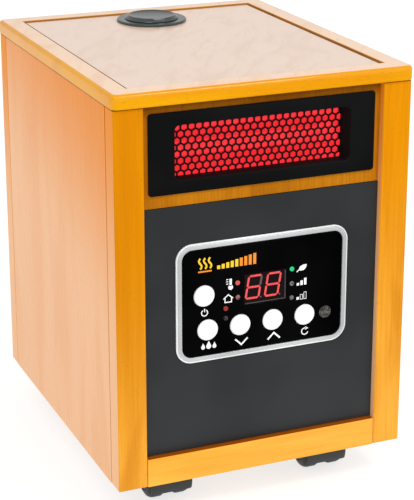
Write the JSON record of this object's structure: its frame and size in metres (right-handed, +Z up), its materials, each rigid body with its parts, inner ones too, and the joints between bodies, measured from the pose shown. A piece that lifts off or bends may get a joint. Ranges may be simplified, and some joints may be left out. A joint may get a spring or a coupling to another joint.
{
  "type": "ceramic space heater",
  "caption": "Wood-veneered cabinet heater on casters, with a hexagonal warm-air guard, a recessed digital control module, a rear filter and a humidifier cup in the top.",
  "frame": {"origin": "on the floor, under the middle of the cabinet", "axes": "+Z up, +Y towards the back, +X to the right as seen from the front"},
  "size_m": [0.2828, 0.335, 0.4017],
  "materials": {
    "frame_wood": "stained and lacquered solid wood, fine straight grain, satin",
    "side_veneer": "lacquered veneer, soft upright grain, satin",
    "top_veneer": "lacquered veneer with a wavy figure, semi-gloss",
    "raw_board": "unfinished fibreboard",
    "black_plastic": "fine moulded texture",
    "fascia_grey": "even satin dark grey",
    "silver_trim": "silver paint, satin",
    "gloss_black": "polished",
    "white_plastic": "smooth",
    "display_red": "smoked red window with lit digits",
    "clear_plastic": "clear moulding with small coloured lights",
    "circuit_board": "green solder mask",
    "steel": "zinc-plated sheet",
    "aluminium": "thin plain fins",
    "ceramic": "matt",
    "quartz_glow": "quartz tube, glowing red when lit",
    "motor_paint": "satin grey",
    "caster_plastic": "moulded nylon",
    "cap_plastic": "satin blue-grey",
    "filter_cloth": "black nylon mesh"
  },
  "bodies": {
    "cabinet": {"front_left_stile": "frame_wood", "front_right_stile": "frame_wood", "front_bottom_rail": "frame_wood", "rear_left_stile": "frame_wood", "rear_right_stile": "frame_wood", "rear_bottom_rail": "frame_wood", "top_frame": "frame_wood", "upper_front_panel": "frame_wood", "left_side_panel": "side_veneer", "right_side_panel": "side_veneer", "rear_panel": "side_veneer", "top_panel": "top_veneer", "base_board": "raw_board", "outlet_bezel": "black_plastic", "outlet_grille": "black_plastic", "intake_grille": "black_plastic", "cord_gland": "black_plastic", "blower_scroll": "black_plastic", "tip_over_switch": "black_plastic", "cup_cradle": "black_plastic", "front_fascia": "fascia_grey", "control_frame": "silver_trim", "control_overlay": "gloss_black", "ir_receiver": "gloss_black", "display_module": "display_red", "indicator_lenses": "clear_plastic", "control_board": "circuit_board", "power_board": "circuit_board", "heat_chamber": "steel", "lamp_reflector": "steel", "front_left_caster_plate": "steel", "front_right_caster_plate": "steel", "rear_left_caster_plate": "steel", "rear_right_caster_plate": "steel", "ptc_fins_lower": "aluminium", "ptc_fins_upper": "aluminium", "ptc_strip": "ceramic", "quartz_lamp_lower": "quartz_glow", "quartz_lamp_upper": "quartz_glow", "blower_motor": "motor_paint", "thermal_cutout": "motor_paint"},
    "button_power": {"button_power": "white_plastic"},
    "button_humidifier": {"button_humidifier": "white_plastic"},
    "button_down": {"button_down": "white_plastic"},
    "button_up": {"button_up": "white_plastic"},
    "button_mode": {"button_mode": "white_plastic"},
    "water_cup": {"water_cup": "cap_plastic", "mist_disc": "steel"},
    "mist_cap": {"mist_cap": "cap_plastic"},
    "filter": {"filter_frame": "black_plastic", "filter_mesh": "filter_cloth"},
    "blower_wheel": {"blower_wheel": "caster_plastic"},
    "front_left_caster": {"front_left_caster_hood": "caster_plastic"},
    "front_left_wheels": {"front_left_caster_wheels": "caster_plastic"},
    "front_right_caster": {"front_right_caster_hood": "caster_plastic"},
    "front_right_wheels": {"front_right_caster_wheels": "caster_plastic"},
    "rear_left_caster": {"rear_left_caster_hood": "caster_plastic"},
    "rear_left_wheels": {"rear_left_caster_wheels": "caster_plastic"},
    "rear_right_caster": {"rear_right_caster_hood": "caster_plastic"},
    "rear_right_wheels": {"rear_right_caster_wheels": "caster_plastic"}
  },
  "joints": [
    {"name": "button_power_press", "type": "slide", "parent": "cabinet", "child": "button_power", "axis": [0, 1, 0], "range_m": [0, 0.0008], "stiffness_N_per_m": 400, "springref_m": -0.0006},
    {"name": "button_humidifier_press", "type": "slide", "parent": "cabinet", "child": "button_humidifier", "axis": [0, 1, 0], "range_m": [0, 0.0008], "stiffness_N_per_m": 400, "springref_m": -0.0006},
    {"name": "button_down_press", "type": "slide", "parent": "cabinet", "child": "button_down", "axis": [0, 1, 0], "range_m": [0, 0.0008], "stiffness_N_per_m": 400, "springref_m": -0.0006},
    {"name": "button_up_press", "type": "slide", "parent": "cabinet", "child": "button_up", "axis": [0, 1, 0], "range_m": [0, 0.0008], "stiffness_N_per_m": 400, "springref_m": -0.0006},
    {"name": "button_mode_press", "type": "slide", "parent": "cabinet", "child": "button_mode", "axis": [0, 1, 0], "range_m": [0, 0.0008], "stiffness_N_per_m": 400, "springref_m": -0.0006},
    {"name": "water_cup_lift", "type": "slide", "parent": "cabinet", "child": "water_cup", "axis": [0, 0, 1], "range_m": [0, 0.105]},
    {"name": "mist_cap_turn", "type": "hinge", "parent": "water_cup", "child": "mist_cap", "pos_m": [0, 0.11, 0.4], "axis": [0, 0, 1], "continuous": true},
    {"name": "filter_slide", "type": "slide", "parent": "cabinet", "child": "filter", "axis": [0, 0, 1], "range_m": [0, 0.125]},
    {"name": "blower_spin", "type": "hinge", "parent": "cabinet", "child": "blower_wheel", "pos_m": [0.009, 0.11, 0.15], "axis": [0, 1, 0], "continuous": true},
    {"name": "front_left_swivel", "type": "hinge", "parent": "cabinet", "child": "front_left_caster", "pos_m": [-0.079, -0.104, 0.045], "axis": [0, 0, 1], "continuous": true},
    {"name": "front_left_roll", "type": "hinge", "parent": "front_left_caster", "child": "front_left_wheels", "pos_m": [-0.079, -0.117, 0.019], "axis": [1, 0, 0], "continuous": true},
    {"name": "front_right_swivel", "type": "hinge", "parent": "cabinet", "child": "front_right_caster", "pos_m": [0.079, -0.104, 0.045], "axis": [0, 0, 1], "continuous": true},
    {"name": "front_right_roll", "type": "hinge", "parent": "front_right_caster", "child": "front_right_wheels", "pos_m": [0.079, -0.117, 0.019], "axis": [1, 0, 0], "continuous": true},
    {"name": "rear_left_swivel", "type": "hinge", "parent": "cabinet", "child": "rear_left_caster", "pos_m": [-0.079, 0.104, 0.045], "axis": [0, 0, 1], "continuous": true},
    {"name": "rear_left_roll", "type": "hinge", "parent": "rear_left_caster", "child": "rear_left_wheels", "pos_m": [-0.079, 0.091, 0.019], "axis": [1, 0, 0], "continuous": true},
    {"name": "rear_right_swivel", "type": "hinge", "parent": "cabinet", "child": "rear_right_caster", "pos_m": [0.079, 0.104, 0.045], "axis": [0, 0, 1], "continuous": true},
    {"name": "rear_right_roll", "type": "hinge", "parent": "rear_right_caster", "child": "rear_right_wheels", "pos_m": [0.079, 0.091, 0.019], "axis": [1, 0, 0], "continuous": true}
  ]
}
